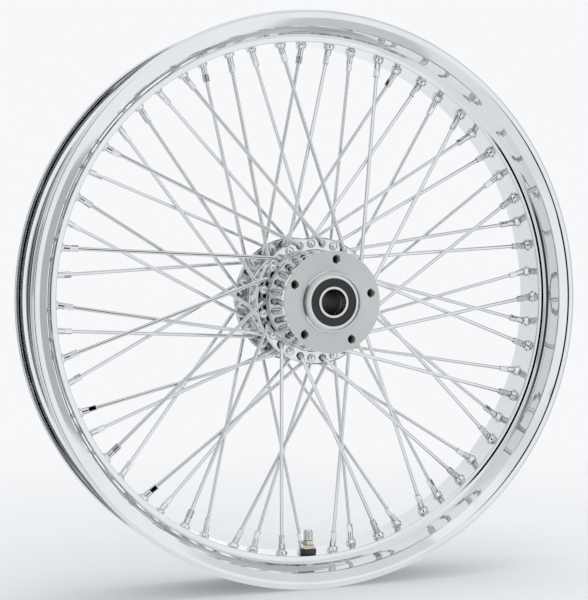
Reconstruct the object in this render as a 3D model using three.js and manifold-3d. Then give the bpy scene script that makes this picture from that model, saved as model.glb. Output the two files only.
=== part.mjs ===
// Laced motorcycle wheel: drop-centre steel rim, flanged hub, sixty crossed spokes with
// nipples, two sealed ball bearings with a spacer tube, and a bolt-in inflation valve.
// Millimetres. Origin at the wheel centre, axle along Y, +Z up. The -Y side is "left".
import * as THREE from "three";
import { mergeVertices } from "three/addons/utils/BufferGeometryUtils.js";
import Module from "manifold-3d";

const wasm = await Module();
wasm.setup();

// ---------------------------------------------------------------- driving dimensions
const RIM_LIP_R = 283.0; // outer radius of the rolled lip
const RIM_HALF_WIDTH = 45.0; // lip face to centre plane
const RIM_BED_R = 254.5; // hub side of the rim bed
const RIM_BED_TOP_R = 256.7; // tyre side of the rim bed
const RIM_SEGMENTS = 60; // one facet per spoke hole

const SPOKES_PER_TYPE = 15; // four types, sixty spokes in all
const NIPPLE_SEAT_R = 252.6;
const NIPPLE_ROW_Y = 5.5; // half the spacing of the two rows of nipples
const LACING_TURN = 36; // degrees between a spoke's hub hole and its nipple
const HUB_HOLE_R = 56.4; // radius of the spoke-hole circle
const OUTER_SPOKE_Y = 39.0; // elbow plane of the spokes outside the flange
const INNER_SPOKE_Y = 28.8; // elbow plane of the spokes inside the flange
const WIRE_R = 2.09; // corner radius of the hexagon that equals a 3.8 mm wire
const NIPPLE_R = 3.5;
const NIPPLE_LENGTH = 17.0; // from its open end to the rim bed
const NIPPLE_HEAD_R = 4.6;
const NIPPLE_HEAD_FROM_R = 257.4; // the conical head starts here, on the tyre side
const NIPPLE_HEAD_LENGTH = 3.6;
const SPOKE_HEAD_R = 4.2;
const SPOKE_HEAD_LENGTH = 3.6;
const HOLE_CLEARANCE = 0.45;

const FLANGE_IN_Y = 31.0;
const FLANGE_OUT_Y = 36.0;
const FLANGE_R = 62.6;
const DRUM_R = 46.5;
const DISC_FACE_Y = 78.0; // machined brake-disc seat
const DISC_FACE_R = 49.4;
const BOSS_Y = 84.5;
const BOSS_R = 28.8;
const DISC_BOLT_CIRCLE_R = 41.275; // 3.25 in bolt circle
const DISC_BOLT_COUNT = 5;
const DISC_BOLT_HOLE_R = 3.9;
const DISC_BOLT_DEPTH = 19.0;
const DISC_BOLT_PHASE = 6.5; // degrees from the top
const HUB_SEGMENTS = 36;

const BEARING_BORE_R = 12.7; // one inch axle
const BEARING_OUTER_R = 26.0;
const BEARING_WIDTH = 15.0;
const BEARING_FACE_Y = 82.0;
const BEARING_SEGMENTS = 18;
const BALL_PITCH_R = 19.52;
const BALL_R = 3.65;
const BALL_COUNT = 9;
const GAP = 0.3;

const VALVE_Y = -10.5; // the valve sits beside the lowest back-row nipple
const VALVE_STEM_R = 3.85;

// ---------------------------------------------------------------- helpers
const deg = Math.PI / 180;
const V = (x, y, z) => new THREE.Vector3(x, y, z);
const polar = (r, angle, y) => V(r * Math.sin(angle * deg), y, r * Math.cos(angle * deg));

function toSolid(geometry) {
  let g = geometry.clone();
  for (const name of Object.keys(g.attributes)) if (name !== "position") g.deleteAttribute(name);
  g = mergeVertices(g, 1e-4);
  const index = g.index.array;
  const p = g.attributes.position.array;
  const keep = [];
  for (let i = 0; i < index.length; i += 3) {
    const [a, b, c] = [index[i], index[i + 1], index[i + 2]];
    if (a !== b && b !== c && c !== a) keep.push(a, b, c);
  }
  return new wasm.Manifold(
    new wasm.Mesh({ numProp: 3, vertProperties: new Float32Array(p), triVerts: new Uint32Array(keep) }),
  );
}

function fromSolid(solid) {
  const m = solid.getMesh();
  const g = new THREE.BufferGeometry();
  const n = m.vertProperties.length / m.numProp;
  const p = new Float32Array(n * 3);
  for (let i = 0; i < n; i++) for (let k = 0; k < 3; k++) p[i * 3 + k] = m.vertProperties[i * m.numProp + k];
  g.setAttribute("position", new THREE.BufferAttribute(p, 3));
  g.setIndex(new THREE.BufferAttribute(new Uint32Array(m.triVerts), 1));
  g.computeVertexNormals();
  return g;
}

// A ring turned about the Y axis from a closed outline of [radius, y] pairs.
function turned(outline, segments, phase = 0) {
  const area = outline.reduce((s, [r, y], i) => {
    const [r2, y2] = outline[(i + 1) % outline.length];
    return s + (r * y2 - r2 * y);
  }, 0);
  const loop = area > 0 ? outline.slice() : outline.slice().reverse();
  const points = [...loop, loop[0]].map(([r, y]) => new THREE.Vector2(r, y));
  return new THREE.LatheGeometry(points, segments, phase * deg, Math.PI * 2);
}

// A closed solid through rings of six corners each.
function lofted(rings) {
  const sides = rings[0].length;
  const position = [];
  for (const ring of rings) for (const q of ring) position.push(q.x, q.y, q.z);
  const index = [];
  for (let i = 0; i + 1 < rings.length; i++)
    for (let k = 0; k < sides; k++) {
      const a = i * sides + k;
      const b = i * sides + ((k + 1) % sides);
      const c = a + sides;
      const d = b + sides;
      index.push(a, b, d, a, d, c);
    }
  const last = (rings.length - 1) * sides;
  for (let k = 1; k + 1 < sides; k++) {
    index.push(0, k + 1, k);
    index.push(last, last + k, last + k + 1);
  }
  const g = new THREE.BufferGeometry();
  g.setAttribute("position", new THREE.Float32BufferAttribute(position, 3));
  g.setIndex(index);
  let s = toSolid(g);
  if (s.volume() < 0) {
    for (let i = 0; i < index.length; i += 3) [index[i + 1], index[i + 2]] = [index[i + 2], index[i + 1]];
    g.setIndex(index);
    s = toSolid(g);
  }
  return s;
}

const hexagon = (centre, u, v, r) =>
  [0, 1, 2, 3, 4, 5].map((k) =>
    centre
      .clone()
      .addScaledVector(u, r * Math.cos((k * Math.PI) / 3))
      .addScaledVector(v, r * Math.sin((k * Math.PI) / 3)),
  );

const group = new THREE.Group();
function add(name, geometry, color, roughness, metalness, at = null) {
  const mesh = new THREE.Mesh(geometry, new THREE.MeshStandardMaterial({ color, roughness, metalness }));
  mesh.name = name;
  if (at) mesh.position.copy(at);
  group.add(mesh);
  return mesh;
}

// ---------------------------------------------------------------- spokes
// side -1 is the left flange, +1 the right one. An outer spoke bends at the outside of
// its flange and has its head inside; an inner spoke is the other way round.
function spokePath(side, outer, hubAngle) {
  const nippleAngle = hubAngle + (outer ? -LACING_TURN : LACING_TURN);
  const corner = polar(HUB_HOLE_R, hubAngle, side * (outer ? OUTER_SPOKE_Y : INNER_SPOKE_Y));
  const seat = polar(NIPPLE_SEAT_R, nippleAngle, side * NIPPLE_ROW_Y);
  const headAtY = side * (outer ? FLANGE_IN_Y - GAP : FLANGE_OUT_Y + GAP);
  const headTopY = side * (outer ? FLANGE_IN_Y - GAP - SPOKE_HEAD_LENGTH : FLANGE_OUT_Y + GAP + SPOKE_HEAD_LENGTH);
  return { side, outer, hubAngle, corner, seat, headAtY, headTopY };
}

// The point on each of two crossing spokes nearest to the other, drawn together in y
// until the wires rest against each other.
function touchAt(a, b) {
  const da = a.seat.clone().sub(a.corner);
  const db = b.seat.clone().sub(b.corner);
  const cross = da.x * db.z - da.z * db.x;
  const w = b.corner.clone().sub(a.corner);
  const s = (w.x * db.z - w.z * db.x) / cross;
  const t = (w.x * da.z - w.z * da.x) / cross;
  const pa = a.corner.clone().addScaledVector(da, s);
  const pb = b.corner.clone().addScaledVector(db, t);
  const middle = (pa.y + pb.y) / 2;
  const half = (WIRE_R * Math.sin(Math.PI / 3) * 2 - 0.2) / 2;
  const sign = Math.sign(pa.y - pb.y);
  pa.y = middle + sign * half;
  pb.y = middle - sign * half;
  return [pa, pb];
}

function frameFor(direction) {
  const n = V(0, 1, 0).cross(direction).normalize();
  return [n, direction.clone().cross(n).normalize()];
}

function spokeSolid(path, touch) {
  const { corner, seat, headAtY, headTopY } = path;
  const first = touch.clone().sub(corner).normalize();
  const second = seat.clone().sub(touch).normalize();
  const [n, v1] = frameFor(first);
  const [n2, v2] = frameFor(second);
  const shank = V(0, Math.sign(corner.y - headTopY), 0);
  const vs = shank.clone().cross(n).normalize();
  const mitre = (p, q, va) => {
    const m = p.clone().add(q).normalize();
    const vm = m.clone().cross(n).normalize();
    return vm.multiplyScalar(1 / va.dot(vm));
  };
  const at = (y) => V(corner.x, y, corner.z);
  const toSeat = (r) => {
    // the point of the outer stretch at radius r
    let lo = 0;
    let hi = 400;
    for (let i = 0; i < 50; i++) {
      const mid = (lo + hi) / 2;
      const q = touch.clone().addScaledVector(second, mid);
      if (Math.hypot(q.x, q.z) < r) lo = mid;
      else hi = mid;
    }
    return touch.clone().addScaledVector(second, (lo + hi) / 2);
  };
  const head = toSeat(NIPPLE_HEAD_FROM_R);
  const headEnd = head.clone().addScaledVector(second, NIPPLE_HEAD_LENGTH);
  const open = seat.clone().addScaledVector(second, -NIPPLE_LENGTH);
  return lofted([
    hexagon(at(headTopY), n, vs, SPOKE_HEAD_R * 0.72),
    hexagon(at(headAtY), n, vs, SPOKE_HEAD_R),
    hexagon(at(headAtY), n, vs, WIRE_R),
    hexagon(corner, n, mitre(shank, first, vs), WIRE_R),
    hexagon(touch, n, v1, WIRE_R),
    hexagon(open, n2, v2, WIRE_R),
    hexagon(open, n2, v2, NIPPLE_R),
    hexagon(head, n2, v2, NIPPLE_R),
    hexagon(headEnd, n2, v2, NIPPLE_HEAD_R),
  ]);
}

// Drills for the flange hole and the rim hole of one spoke.
function flangeDrill(path, touch) {
  const [n] = frameFor(touch.clone().sub(path.corner).normalize());
  const shank = V(0, Math.sign(path.corner.y - path.headTopY), 0);
  const vs = shank.clone().cross(n).normalize();
  const r = WIRE_R + HOLE_CLEARANCE;
  const y = (d) => V(path.corner.x, d, path.corner.z);
  return lofted([
    hexagon(y(path.side * (FLANGE_IN_Y - 2)), n, vs, r),
    hexagon(y(path.side * (FLANGE_OUT_Y + 2)), n, vs, r),
  ]);
}
function rimDrill(path, touch) {
  const second = path.seat.clone().sub(touch).normalize();
  const [n2, v2] = frameFor(second);
  const r = NIPPLE_R + HOLE_CLEARANCE;
  return lofted([
    hexagon(path.seat.clone().addScaledVector(second, -3), n2, v2, r),
    hexagon(path.seat.clone().addScaledVector(second, 7.5), n2, v2, r),
  ]);
}

// Each outer spoke leans on the inner spoke five flange holes back where they cross, so
// that crossing pair is one piece.
const flangeDrills = [];
const rimDrills = [];
for (const side of [-1, 1]) {
  for (let j = 0; j < SPOKES_PER_TYPE; j++) {
    const hubAngle = (side < 0 ? 6 : 0) + 24 * j;
    const outer = spokePath(side, true, hubAngle);
    const inner = spokePath(side, false, hubAngle - 60);
    const [ta, tb] = touchAt(outer, inner);
    for (const [path, touch] of [
      [outer, ta],
      [inner, tb],
    ]) {
      flangeDrills.push(flangeDrill(path, touch));
      rimDrills.push(rimDrill(path, touch));
    }
    const pair = spokeSolid(outer, ta).add(spokeSolid(inner, tb));
    const label = `${side < 0 ? "left" : "right"}_spoke_pair_${String(j + 1).padStart(2, "0")}`;
    add(label, fromSolid(pair), 0xe4e7ea, 0.08, 1.0);
  }
}
const union = (list) => {
  let pool = list.slice();
  while (pool.length > 1) {
    const next = [];
    for (let i = 0; i < pool.length; i += 2) next.push(i + 1 < pool.length ? pool[i].add(pool[i + 1]) : pool[i]);
    pool = next;
  }
  return pool[0];
};

// ---------------------------------------------------------------- rim
const flat = 1 / Math.cos(Math.PI / RIM_SEGMENTS); // keeps the stated radii at the facets' middles
const rimHalf = [
  [RIM_BED_R, 20.3],
  [260.8, 22.8],
  [267.4, 40.6],
  [275.2, 44.4],
  [280.0, RIM_HALF_WIDTH],
  [RIM_LIP_R, 42.6],
  [281.6, 39.5],
  [272.4, 40.2],
  [267.2, 35.2],
  [263.2, 20.8],
  [RIM_BED_TOP_R, 18.0],
];
const rimOutline = [...rimHalf.map(([r, y]) => [r * flat, -y]), ...rimHalf.map(([r, y]) => [r * flat, y]).reverse()];
const valveDrill = toSolid(
  new THREE.CylinderGeometry(VALVE_STEM_R + 0.45, VALVE_STEM_R + 0.45, 12, 12)
    .rotateX(Math.PI / 2)
    .translate(0, VALVE_Y, -255.5),
);
const rim = toSolid(turned(rimOutline, RIM_SEGMENTS, 180 / RIM_SEGMENTS))
  .subtract(union(rimDrills))
  .subtract(valveDrill);
add("rim", fromSolid(rim), 0xe2e6ea, 0.06, 1.0);

// rubber band over the nipple heads, in the well
const bandOutline = [
  [262.7, -13.5],
  [263.9, -13.5],
  [263.9, 13.5],
  [262.7, 13.5],
].map(([r, y]) => [r / Math.cos(Math.PI / 30), y]);
add("rim_band", turned(bandOutline, 30, 6), 0x1b1c1e, 0.8, 0.0);

// ---------------------------------------------------------------- hub shell
const hubHalf = [
  [34.0, 12.0],
  [47.6, FLANGE_IN_Y],
  [60.4, FLANGE_IN_Y],
  [FLANGE_R, 33.5],
  [60.4, FLANGE_OUT_Y],
  [48.4, FLANGE_OUT_Y],
  [DRUM_R, 39.0],
  [DRUM_R, 68.0],
  [DISC_FACE_R, 71.8],
  [DISC_FACE_R, DISC_FACE_Y],
  [30.0, DISC_FACE_Y],
  [BOSS_R, 79.8],
  [BOSS_R, BOSS_Y],
  [BEARING_OUTER_R, BOSS_Y],
  [BEARING_OUTER_R, BEARING_FACE_Y - BEARING_WIDTH - GAP],
  [21.5, BEARING_FACE_Y - BEARING_WIDTH - GAP],
];
const hubOutline = [...hubHalf.map(([r, y]) => [r, -y]), ...hubHalf.slice().reverse()];
let hub = toSolid(turned(hubOutline, HUB_SEGMENTS)).subtract(union(flangeDrills));
for (const side of [-1, 1])
  for (let i = 0; i < DISC_BOLT_COUNT; i++) {
    const at = polar(DISC_BOLT_CIRCLE_R, DISC_BOLT_PHASE + (360 / DISC_BOLT_COUNT) * i, 0);
    const depth = DISC_BOLT_DEPTH + 3;
    const drill = new THREE.CylinderGeometry(DISC_BOLT_HOLE_R, DISC_BOLT_HOLE_R, depth, 8).translate(
      at.x,
      side * (DISC_FACE_Y + 3 - depth / 2),
      at.z,
    );
    hub = hub.subtract(toSolid(drill));
  }
add("hub_shell", fromSolid(hub), 0xc9ced3, 0.18, 1.0);

// ---------------------------------------------------------------- bearings
const at = (side) => V(0, side * (BEARING_FACE_Y - BEARING_WIDTH / 2), 0);
const h = BEARING_WIDTH / 2;
for (const side of [-1, 1]) {
  const name = side < 0 ? "left" : "right";
  const outerRing = [
    [BEARING_OUTER_R - GAP, -h],
    [BEARING_OUTER_R - GAP, h],
    [23.1, h],
    [23.1, 5.6],
    [21.7, 4.4],
    [23.85, 0],
    [21.7, -4.4],
    [23.1, -5.6],
    [23.1, -h],
  ];
  add(`${name}_bearing_outer_ring`, turned(outerRing, BEARING_SEGMENTS), 0xb9bcc0, 0.25, 1.0, at(side));
  const innerRing = [
    [BEARING_BORE_R, -h],
    [BEARING_BORE_R, h],
    [15.5, h],
    [15.7, 5.6],
    [17.2, 4.4],
    [15.15, 0],
    [17.2, -4.4],
    [15.7, -5.6],
    [15.5, -h],
  ];
  add(`${name}_bearing_inner_ring`, turned(innerRing, BEARING_SEGMENTS), 0xc4c6c8, 0.22, 1.0, at(side));

  // cage with its balls
  let cage = toSolid(
    turned(
      [
        [18.7, -2.2],
        [20.3, -2.2],
        [20.3, 2.2],
        [18.7, 2.2],
      ],
      BEARING_SEGMENTS,
    ),
  );
  for (let i = 0; i < BALL_COUNT; i++) {
    const c = polar(BALL_PITCH_R, (360 / BALL_COUNT) * i, 0);
    cage = cage.add(toSolid(new THREE.SphereGeometry(BALL_R, 6, 3).translate(c.x, c.y, c.z)));
  }
  add(`${name}_bearing_ball_cage`, fromSolid(cage), 0xa9a48f, 0.3, 1.0, at(side));

  for (const face of [-1, 1]) {
    const seal = [
      [16.25, face * 5.95],
      [22.7, face * 5.95],
      [22.7, face * 7.1],
      [16.25, face * 7.1],
    ];
    const which = face === side ? "outside" : "inside";
    add(`${name}_bearing_${which}_seal`, turned(seal, BEARING_SEGMENTS), 0x2b2c2b, 0.65, 0.0, at(side));
  }
}
const spacerHalf = BEARING_FACE_Y - BEARING_WIDTH - GAP;
add(
  "bearing_spacer_tube",
  turned(
    [
      [BEARING_BORE_R + 0.1, -spacerHalf],
      [16.6, -spacerHalf],
      [16.6, spacerHalf],
      [BEARING_BORE_R + 0.1, spacerHalf],
    ],
    BEARING_SEGMENTS,
  ),
  0x6f6c69,
  0.55,
  1.0,
);

// ---------------------------------------------------------------- valve
// Everything is turned about its own Y axis, then stood along Z at the bottom of the rim.
const stood = (outline, segments) => turned(outline, segments).rotateX(Math.PI / 2).translate(0, VALVE_Y, 0);
const stemBore = 1.35;
add(
  "valve_stem",
  stood(
    [
      [stemBore, -261.9],
      [7.2, -261.9],
      [7.2, -260.3],
      [VALVE_STEM_R, -259.2],
      [VALVE_STEM_R, -233.2],
      [stemBore, -233.2],
    ],
    12,
  ),
  0xb9ad93,
  0.3,
  1.0,
);
add(
  "valve_inner_grommet",
  stood(
    [
      [4.5, -258.9],
      [7.6, -259.9],
      [7.6, -257.05],
      [4.5, -257.05],
    ],
    12,
  ),
  0x1a1a1b,
  0.8,
  0.0,
);
add(
  "valve_rubber_washer",
  stood(
    [
      [4.25, -254.15],
      [7.7, -254.15],
      [8.3, -253.4],
      [8.3, -249.8],
      [7.8, -249.0],
      [4.25, -249.0],
    ],
    16,
  ),
  0x17181a,
  0.55,
  0.0,
);
add(
  "valve_nut_lower",
  stood(
    [
      [4.85, -248.7],
      [6.6, -248.7],
      [6.6, -244.7],
      [4.85, -244.7],
    ],
    6,
  ),
  0xcdbfa6,
  0.25,
  1.0,
);
add(
  "valve_nut_upper",
  stood(
    [
      [4.35, -244.4],
      [5.9, -244.4],
      [5.9, -240.4],
      [4.35, -240.4],
    ],
    12,
  ),
  0xd8ccb6,
  0.25,
  1.0,
);
add(
  "valve_cap",
  stood(
    [
      [0, -229.6],
      [0, -231.3],
      [4.25, -231.3],
      [4.25, -240.1],
      [4.95, -240.1],
      [4.95, -231.2],
      [4.3, -229.6],
    ],
    12,
  ),
  0xc9ccd2,
  0.25,
  1.0,
);
add(
  "valve_core_pin",
  stood(
    [
      [0, -250.0],
      [0.9, -250.0],
      [0.9, -232.6],
      [0, -232.6],
    ],
    8,
  ),
  0xc8b27a,
  0.3,
  1.0,
);

export default group;
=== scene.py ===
import math

import bmesh
import bpy
import numpy as np
from mathutils import Matrix, Vector


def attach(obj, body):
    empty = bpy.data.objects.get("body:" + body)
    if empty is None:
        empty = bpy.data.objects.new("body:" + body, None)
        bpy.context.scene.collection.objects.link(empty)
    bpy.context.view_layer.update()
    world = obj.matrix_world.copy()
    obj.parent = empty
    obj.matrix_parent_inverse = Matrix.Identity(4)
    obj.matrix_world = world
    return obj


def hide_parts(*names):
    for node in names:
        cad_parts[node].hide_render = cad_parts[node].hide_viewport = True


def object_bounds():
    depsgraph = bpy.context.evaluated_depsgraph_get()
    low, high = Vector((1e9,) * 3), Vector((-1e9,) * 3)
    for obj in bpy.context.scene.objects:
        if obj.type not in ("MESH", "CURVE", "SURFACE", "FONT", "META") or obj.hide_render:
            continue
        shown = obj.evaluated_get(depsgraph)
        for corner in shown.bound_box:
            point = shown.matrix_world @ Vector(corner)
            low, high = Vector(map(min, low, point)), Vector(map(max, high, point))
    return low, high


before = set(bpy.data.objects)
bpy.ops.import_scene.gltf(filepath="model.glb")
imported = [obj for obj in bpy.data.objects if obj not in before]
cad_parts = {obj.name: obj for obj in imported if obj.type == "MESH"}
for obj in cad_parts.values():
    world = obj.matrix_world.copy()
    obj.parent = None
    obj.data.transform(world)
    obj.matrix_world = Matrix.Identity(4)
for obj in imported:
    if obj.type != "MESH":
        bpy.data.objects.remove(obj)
cad_lo, cad_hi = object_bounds()
scene = bpy.context.scene
MM = 0.001
rad = math.radians


# ------------------------------------------------------------------ camera
# Azimuth, elevation and roll of the line of sight, distance, and the offset of the wheel's centre from it.
CAM_AZ, CAM_EL, CAM_ROLL = rad(-20.161), rad(1.96), rad(-0.14)
CAM_D, CAM_F, CAM_TX, CAM_TY = 1587.0, 1583.4, 9.884, 0.322
back = Vector((math.sin(CAM_AZ) * math.cos(CAM_EL), -math.cos(CAM_AZ) * math.cos(CAM_EL), math.sin(CAM_EL)))
right0 = Vector((math.cos(CAM_AZ), math.sin(CAM_AZ), 0.0))
up0 = back.cross(right0)
cam_right = right0 * math.cos(CAM_ROLL) + up0 * math.sin(CAM_ROLL)
cam_up = -right0 * math.sin(CAM_ROLL) + up0 * math.cos(CAM_ROLL)
cam_data = bpy.data.cameras.new("camera")
cam = bpy.data.objects.new("camera", cam_data)
scene.collection.objects.link(cam)
cam_data.sensor_width = 36.0
cam_data.lens = CAM_F * 36.0 / 600.0
cam_data.clip_start, cam_data.clip_end = 0.01, 60.0
rows = Matrix((cam_right, cam_up, back)).transposed().to_4x4()
rows.translation = (back * CAM_D - cam_right * CAM_TX - cam_up * CAM_TY) * MM
cam.matrix_world = rows
scene.camera = cam


# ------------------------------------------------------------------ small geometry helpers
def polar(r, angle, y):
    a = rad(angle)
    return Vector((r * math.sin(a), y, r * math.cos(a)))


def rounded(corners, closed=True, step=12.0):
    """Corners (r, y, fillet radius) to a list of (r, y), with an arc of that radius at each corner."""
    n = len(corners)
    out = []
    for i, c in enumerate(corners):
        r, y = c[0], c[1]
        radius = c[2] if len(c) > 2 else 0.0
        if radius <= 0 or (not closed and i in (0, n - 1)):
            out.append((r, y))
            continue
        p0, p1, p2 = Vector(corners[i - 1][:2]), Vector((r, y)), Vector(corners[(i + 1) % n][:2])
        a, b = p0 - p1, p2 - p1
        la, lb = a.length, b.length
        a, b = a / la, b / lb
        inside = math.acos(max(-1.0, min(1.0, a.dot(b))))
        if abs(math.pi - inside) < 1e-3:
            out.append((r, y))
            continue
        d = min(radius / math.tan(inside / 2), 0.48 * la, 0.48 * lb)
        real = d * math.tan(inside / 2)
        centre = p1 + (a + b).normalized() * (real / math.sin(inside / 2))
        va, vb = p1 + a * d - centre, p1 + b * d - centre
        turn = math.atan2(va.x * vb.y - va.y * vb.x, va.dot(vb))
        k = max(2, int(math.ceil(abs(math.degrees(turn)) / step)))
        for j in range(k + 1):
            t = turn * j / k
            c, s = math.cos(t), math.sin(t)
            q = centre + Vector((va.x * c - va.y * s, va.x * s + va.y * c))
            out.append((q.x, q.y))
    return out


def lathe(profile, segments, phase=0.0, closed=True, start=0):
    """A (r, y) profile turned about the Y axis: vertices and quads. Points on the axis become one vertex."""
    verts, faces, rings = [], [], []
    for r, y in profile:
        if r < 1e-6:
            rings.append([start + len(verts)])
            verts.append((0.0, y, 0.0))
            continue
        rings.append([start + len(verts) + k for k in range(segments)])
        for k in range(segments):
            a = rad(phase) + 2 * math.pi * k / segments
            verts.append((r * math.sin(a), y, r * math.cos(a)))
    pairs = len(rings) if closed else len(rings) - 1
    for i in range(pairs):
        p, q = rings[i], rings[(i + 1) % len(rings)]
        if len(p) == 1 and len(q) == 1:
            continue
        for k in range(segments):
            k2 = (k + 1) % segments
            if len(p) == 1:
                faces.append((p[0], q[k2], q[k]))
            elif len(q) == 1:
                faces.append((p[k], p[k2], q[0]))
            else:
                faces.append((p[k], p[k2], q[k2], q[k]))
    return verts, faces


def placed(verts, origin, axis, right=None):
    """Vertices turned about Y moved so that their Y axis lies along axis, from origin."""
    w = Vector(axis).normalized()
    u = Vector(right) if right is not None else (Vector((1, 0, 0)) if abs(w.x) < 0.9 else Vector((0, 0, 1)))
    u = (u - w * u.dot(w)).normalized()
    v = u.cross(w)
    o = Vector(origin)
    return [tuple(o + u * x + w * y + v * z) for x, y, z in verts]


def new_piece(name, verts, faces, material, body, stands_for=(), sharp=38.0, weld=0.0, weighted=True):
    mesh = bpy.data.meshes.new(name)
    mesh.from_pydata([(x * MM, y * MM, z * MM) for x, y, z in verts], [], faces)
    bm = bmesh.new()
    bm.from_mesh(mesh)
    if weld:
        bmesh.ops.remove_doubles(bm, verts=bm.verts, dist=weld * MM)
    bmesh.ops.recalc_face_normals(bm, faces=bm.faces)
    bm.to_mesh(mesh)
    bm.free()
    mesh.materials.append(material)
    ob = bpy.data.objects.new(name, mesh)
    scene.collection.objects.link(ob)
    finish_shading(ob, sharp, weighted)
    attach(ob, body)
    if stands_for:
        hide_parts(*stands_for)
    return ob


def finish_shading(ob, sharp=38.0, weighted=True):
    mesh = ob.data
    mesh.polygons.foreach_set("use_smooth", np.ones(len(mesh.polygons), bool))
    mesh.set_sharp_from_angle(angle=rad(sharp))
    if weighted:
        m = ob.modifiers.new("face_weighted_normals", "WEIGHTED_NORMAL")
        m.keep_sharp = True
        m.weight = 60
    mesh.update()


def apply_modifiers(ob):
    dg = bpy.context.evaluated_depsgraph_get()
    made = bpy.data.meshes.new_from_object(ob.evaluated_get(dg), depsgraph=dg)
    ob.modifiers.clear()
    old = ob.data
    ob.data = made
    bpy.data.meshes.remove(old)


# ------------------------------------------------------------------ materials
def material(name):
    m = bpy.data.materials.new(name)
    m.use_nodes = True
    nt = m.node_tree
    nt.nodes.clear()
    out = nt.nodes.new("ShaderNodeOutputMaterial")
    shader = nt.nodes.new("ShaderNodeBsdfPrincipled")
    nt.links.new(shader.outputs["BSDF"], out.inputs["Surface"])
    coords = nt.nodes.new("ShaderNodeTexCoord")
    return m, nt, shader, coords.outputs["Object"]


def noise(nt, coords, scale, detail=4.0, rough=0.55, stretch=None):
    if stretch:
        mp = nt.nodes.new("ShaderNodeMapping")
        mp.inputs["Scale"].default_value = stretch
        nt.links.new(coords, mp.inputs["Vector"])
        coords = mp.outputs["Vector"]
    n = nt.nodes.new("ShaderNodeTexNoise")
    n.inputs["Scale"].default_value = scale
    n.inputs["Detail"].default_value = detail
    n.inputs["Roughness"].default_value = rough
    nt.links.new(coords, n.inputs["Vector"])
    return n.outputs["Fac"]


def ramp(nt, fac, stops):
    r = nt.nodes.new("ShaderNodeValToRGB")
    e = r.color_ramp.elements
    while len(e) < len(stops):
        e.new(0.5)
    for el, (pos, col) in zip(e, stops):
        el.position = pos
        el.color = col if len(col) == 4 else (*col, 1.0)
    nt.links.new(fac, r.inputs["Fac"])
    return r.outputs["Color"]


def span(nt, fac, a, b, lo=0.0, hi=1.0):
    r = nt.nodes.new("ShaderNodeMapRange")
    r.inputs["From Min"].default_value = lo
    r.inputs["From Max"].default_value = hi
    r.inputs["To Min"].default_value = a
    r.inputs["To Max"].default_value = b
    nt.links.new(fac, r.inputs["Value"])
    return r.outputs["Result"]


def math_node(nt, op, a, b=None, clamp=False):
    n = nt.nodes.new("ShaderNodeMath")
    n.operation = op
    n.use_clamp = clamp
    for i, v in enumerate((a, b)):
        if v is None:
            continue
        if isinstance(v, (int, float)):
            n.inputs[i].default_value = v
        else:
            nt.links.new(v, n.inputs[i])
    return n.outputs[0]


def bump(nt, shader, height, distance, strength=1.0, normal=None):
    b = nt.nodes.new("ShaderNodeBump")
    b.inputs["Distance"].default_value = distance
    b.inputs["Strength"].default_value = strength
    nt.links.new(height, b.inputs["Height"])
    if normal is not None:
        nt.links.new(normal, b.inputs["Normal"])
    nt.links.new(b.outputs["Normal"], shader.inputs["Normal"])
    return b.outputs["Normal"]


def chrome(name, tint, rough_lo, rough_hi, wave=0.00002):
    m, nt, sh, co = material(name)
    fine = noise(nt, co, 420.0, 5.0, 0.6)
    broad = noise(nt, co, 22.0, 2.0, 0.5)
    scratch = noise(nt, co, 160.0, 3.0, 0.7, stretch=(1.0, 14.0, 1.0))
    dark = tuple(c * 0.955 for c in tint)
    nt.links.new(ramp(nt, broad, [(0.3, dark), (0.62, tint)]), sh.inputs["Base Color"])
    haze = math_node(nt, "MULTIPLY", fine, scratch)
    nt.links.new(span(nt, haze, rough_lo, rough_hi, 0.12, 0.42), sh.inputs["Roughness"])
    sh.inputs["Metallic"].default_value = 1.0
    bump(nt, sh, broad, wave)
    return m


def ground(name, tint, rough_lo, rough_hi, ring_scale=520.0, ring_depth=0.000004, anis=0.35):
    """Metal turned on a lathe about the wheel's axle: fine rings, a broad tone and small stains."""
    m, nt, sh, co = material(name)
    sep = nt.nodes.new("ShaderNodeSeparateXYZ")
    nt.links.new(co, sep.inputs[0])
    rr = math_node(nt, "SQRT", math_node(nt, "ADD", math_node(nt, "MULTIPLY", sep.outputs[0], sep.outputs[0]), math_node(nt, "MULTIPLY", sep.outputs[2], sep.outputs[2])))
    comb = nt.nodes.new("ShaderNodeCombineXYZ")
    nt.links.new(rr, comb.inputs[0])
    nt.links.new(sep.outputs[1], comb.inputs[1])
    rings = noise(nt, comb.outputs[0], ring_scale, 6.0, 0.7)
    broad = noise(nt, co, 35.0, 3.0, 0.5)
    grit = noise(nt, co, 1400.0, 3.0, 0.6)
    tone = math_node(nt, "ADD", math_node(nt, "MULTIPLY", rings, 0.6), math_node(nt, "MULTIPLY", broad, 0.4))
    lo = tuple(c * 0.90 for c in tint)
    nt.links.new(ramp(nt, tone, [(0.3, lo), (0.68, tint)]), sh.inputs["Base Color"])
    nt.links.new(span(nt, math_node(nt, "ADD", math_node(nt, "MULTIPLY", grit, 0.5), math_node(nt, "MULTIPLY", rings, 0.5)), rough_lo, rough_hi, 0.3, 0.7), sh.inputs["Roughness"])
    sh.inputs["Metallic"].default_value = 1.0
    sh.inputs["Anisotropic"].default_value = anis
    tangent = nt.nodes.new("ShaderNodeTangent")
    tangent.direction_type = "RADIAL"
    tangent.axis = "Y"
    nt.links.new(tangent.outputs[0], sh.inputs["Tangent"])
    bump(nt, sh, rings, ring_depth)
    return m


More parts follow.
